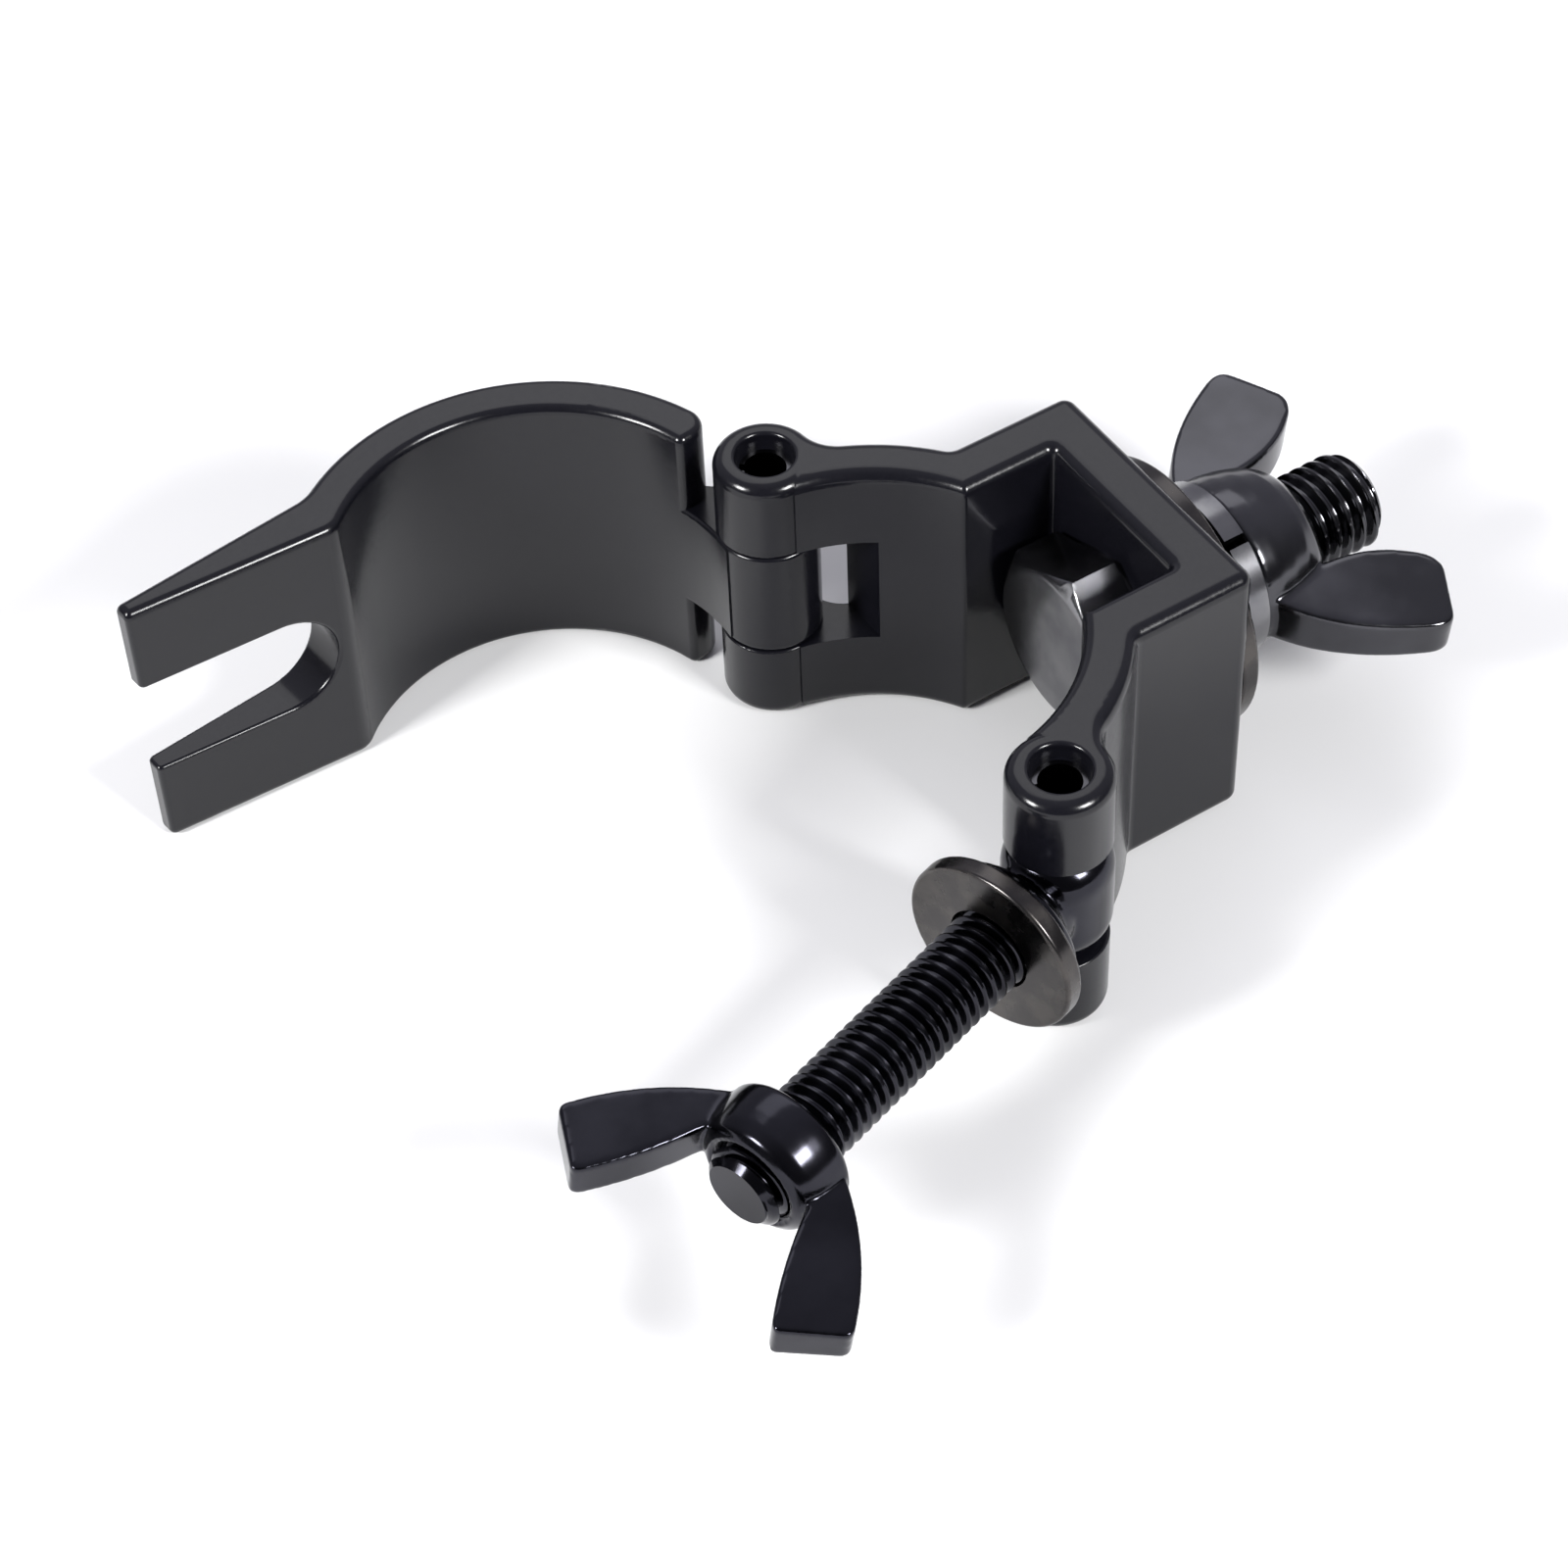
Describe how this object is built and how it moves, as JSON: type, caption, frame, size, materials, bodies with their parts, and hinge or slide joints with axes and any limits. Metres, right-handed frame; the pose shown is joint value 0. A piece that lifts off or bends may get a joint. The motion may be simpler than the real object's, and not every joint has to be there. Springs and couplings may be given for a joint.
{
  "type": "hinged tube clamp",
  "caption": "Hinged clamp for a lighting tube: a cast base and a swinging jaw with a fork, closed by a swing bolt and wing nut, with a captive bolt and wing nut for a fixture.",
  "frame": {"origin": "on the axis of the closed tube seat, in the side face that the clamp lies on", "axes": "+X along the main bolt, away from the tube; +Y towards the jaw's hinge; +Z along the tube, away from the surface that it lies on"},
  "size_m": [0.1131, 0.1024, 0.031],
  "materials": {
    "coated_casting": "satin black powder coat on cast aluminium",
    "black_fasteners": "glossy black zinc plate on steel",
    "black_washer": "dull black oxide on pressed steel"
  },
  "bodies": {
    "base": {"base_casting": "coated_casting", "jaw_hinge_pin": "black_fasteners", "swing_hinge_pin": "black_fasteners", "main_bolt": "black_fasteners"},
    "jaw": {"jaw": "coated_casting"},
    "swing_bolt": {"swing_bolt": "black_fasteners"},
    "swing_washer": {"swing_washer": "black_washer"},
    "swing_nut": {"swing_wing_nut": "black_fasteners"},
    "main_washer": {"main_flat_washer": "black_washer"},
    "spring_washer": {"main_spring_washer": "black_fasteners"},
    "main_nut": {"main_wing_nut": "black_fasteners"}
  },
  "joints": [
    {"name": "jaw_hinge", "type": "hinge", "parent": "base", "child": "jaw", "pos_m": [0.004, 0.024, 0.0155], "axis": [0, 0, 1], "range_deg": [-120, 83.1]},
    {"name": "swing_bolt_hinge", "type": "hinge", "parent": "base", "child": "swing_bolt", "pos_m": [0.004, -0.024, 0.0155], "axis": [0, 0, 1], "range_deg": [-17.07, 130]},
    {"name": "swing_washer_slide", "type": "slide", "parent": "swing_bolt", "child": "swing_washer", "axis": [-0.9559, -0.2935, 0], "range_m": [0, 0.0164]},
    {"name": "swing_nut_travel", "type": "slide", "parent": "swing_bolt", "child": "swing_nut", "axis": [-0.9559, -0.2935, 0], "range_m": [-0.0106, 0.0012]},
    {"name": "main_washer_slide", "type": "slide", "parent": "base", "child": "main_washer", "axis": [1, 0, 0], "range_m": [0, 0.0028]},
    {"name": "main_nut_travel", "type": "slide", "parent": "base", "child": "spring_washer", "axis": [1, 0, 0], "range_m": [-0.0028, 0.0055]},
    {"name": "main_nut_spin", "type": "hinge", "parent": "spring_washer", "child": "main_nut", "pos_m": [0.0395, 0, 0.0155], "axis": [1, 0, 0], "range_deg": [-671, 1319]}
  ],
  "couplings": [
    {"joint": "main_nut_travel", "follows": "main_nut_spin", "m_per_rad": 0.00023873}
  ]
}
